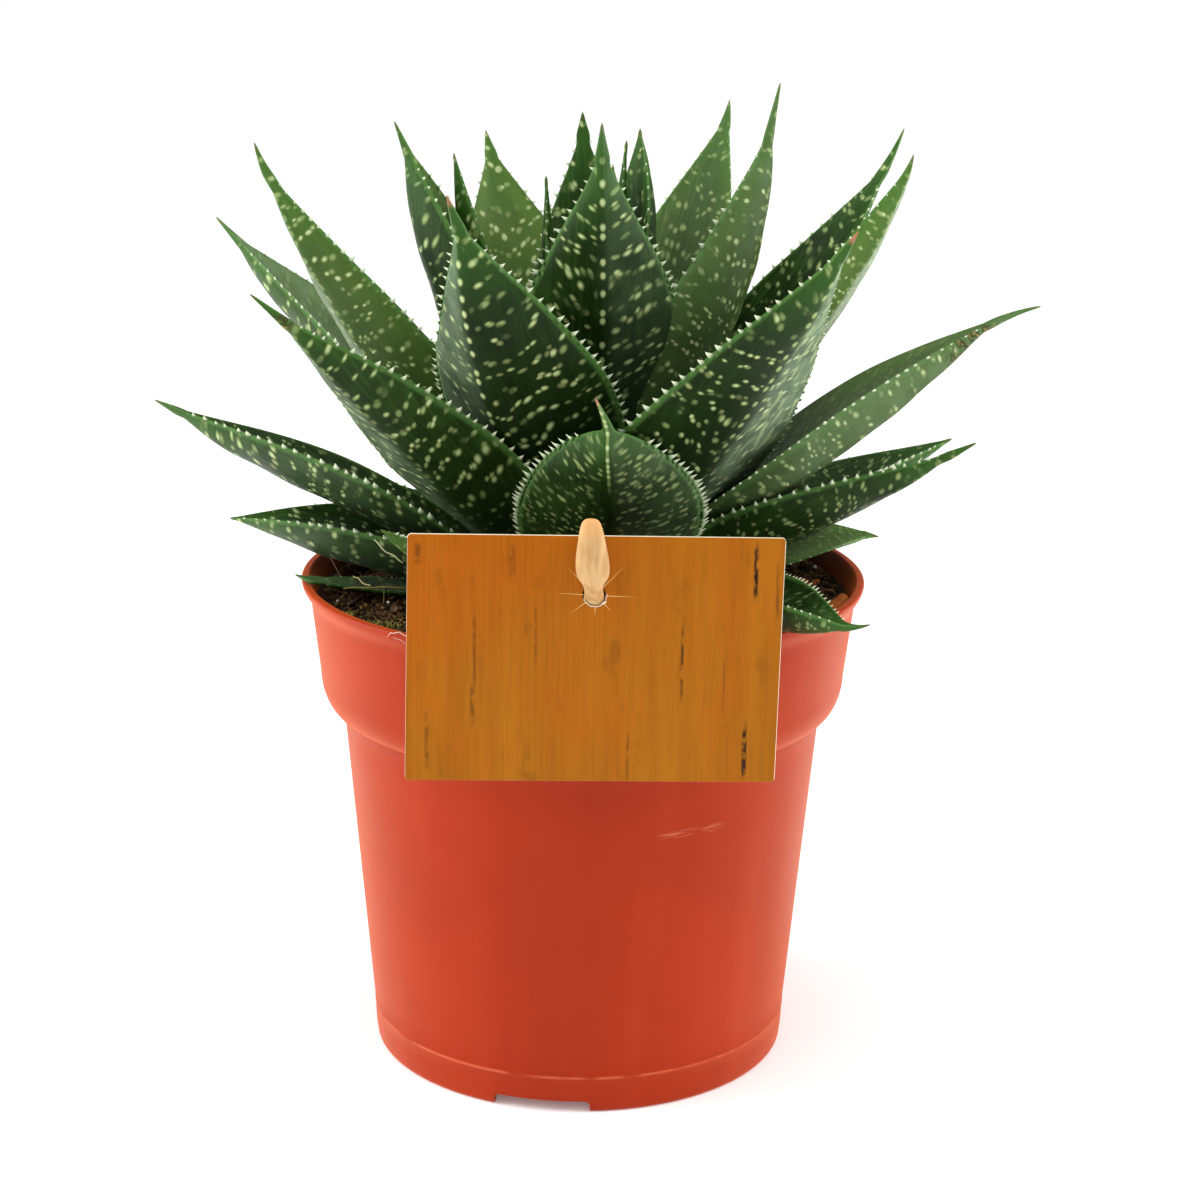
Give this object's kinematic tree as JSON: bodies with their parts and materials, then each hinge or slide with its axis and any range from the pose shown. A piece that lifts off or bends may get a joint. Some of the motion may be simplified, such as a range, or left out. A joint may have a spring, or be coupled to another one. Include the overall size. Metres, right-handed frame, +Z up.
{
  "type": "potted gasteria",
  "caption": "Rosette of spotted, toothed succulent leaves in a tapered plastic pot of soil, with a blank label card held at the rim by a bent peg.",
  "frame": {"origin": "on the floor under the middle of the pot", "axes": "+Z up, front with the card facing -Y"},
  "size_m": [0.179, 0.1346, 0.2088],
  "materials": {
    "pot": "satin terracotta-orange polypropylene",
    "soil": "rough dark peat",
    "stem": "dull green-brown stem",
    "leaf": "dark green waxy leaf with pale spots",
    "card": "printed amber wood-grain card",
    "peg": "smooth pale wood"
  },
  "bodies": {
    "root": {"pot": "pot", "soil": "soil", "stem": "stem", "leaf_01": "leaf", "leaf_02": "leaf", "leaf_03": "leaf", "leaf_04": "leaf", "leaf_05": "leaf", "leaf_06": "leaf", "leaf_07": "leaf", "leaf_08": "leaf", "leaf_09": "leaf", "leaf_10": "leaf", "leaf_11": "leaf", "leaf_12": "leaf", "leaf_13": "leaf", "leaf_14": "leaf", "leaf_15": "leaf", "leaf_16": "leaf", "leaf_17": "leaf", "leaf_18": "leaf", "leaf_19": "leaf", "leaf_20": "leaf", "leaf_21": "leaf", "leaf_22": "leaf", "leaf_23": "leaf", "leaf_24": "leaf", "leaf_25": "leaf", "leaf_26": "leaf", "leaf_27": "leaf", "leaf_28": "leaf", "leaf_29": "leaf", "leaf_30": "leaf", "leaf_31": "leaf", "leaf_32": "leaf", "leaf_33": "leaf", "leaf_34": "leaf", "leaf_35": "leaf", "card": "card", "peg": "peg"}
  },
  "joints": []
}
